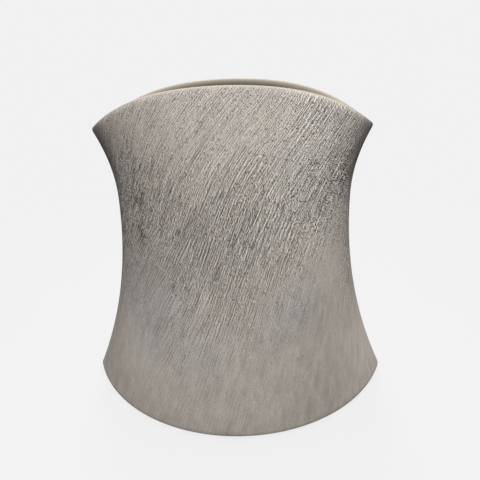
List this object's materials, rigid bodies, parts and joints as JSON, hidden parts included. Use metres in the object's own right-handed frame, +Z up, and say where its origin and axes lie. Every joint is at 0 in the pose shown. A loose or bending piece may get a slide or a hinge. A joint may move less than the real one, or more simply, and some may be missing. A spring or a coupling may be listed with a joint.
{
  "type": "concrete vase",
  "caption": "Waisted concrete vase with an arched rim and upright side ridges, made of bonded half shells on a floor slab, with a lift-out water liner.",
  "frame": {"origin": "on the table surface, under the middle of the vase", "axes": "+Z up, +X along the width from ridge to ridge, -Y towards the front face"},
  "size_m": [0.2562, 0.1742, 0.25],
  "materials": {
    "brushed_concrete": "matt, brushed while wet in slanting strokes",
    "plain_concrete": "matt, as cast",
    "mortar": "matt, trowelled by hand",
    "foot_rubber": "matt, die-cut sheet",
    "liner_plastic": "satin, vacuum formed"
  },
  "bodies": {
    "vase": {"front_shell": "brushed_concrete", "rear_shell": "brushed_concrete", "seam_bead_left": "mortar", "seam_bead_right": "mortar", "base_slab": "plain_concrete", "floor_cove": "mortar", "foot_front_left": "foot_rubber", "foot_front_right": "foot_rubber", "foot_rear_left": "foot_rubber", "foot_rear_right": "foot_rubber"},
    "liner": {"water_liner": "liner_plastic"}
  },
  "joints": [
    {"name": "liner_lift", "type": "slide", "parent": "vase", "child": "liner", "axis": [0, 0, 1], "range_m": [0, 0.245]}
  ]
}
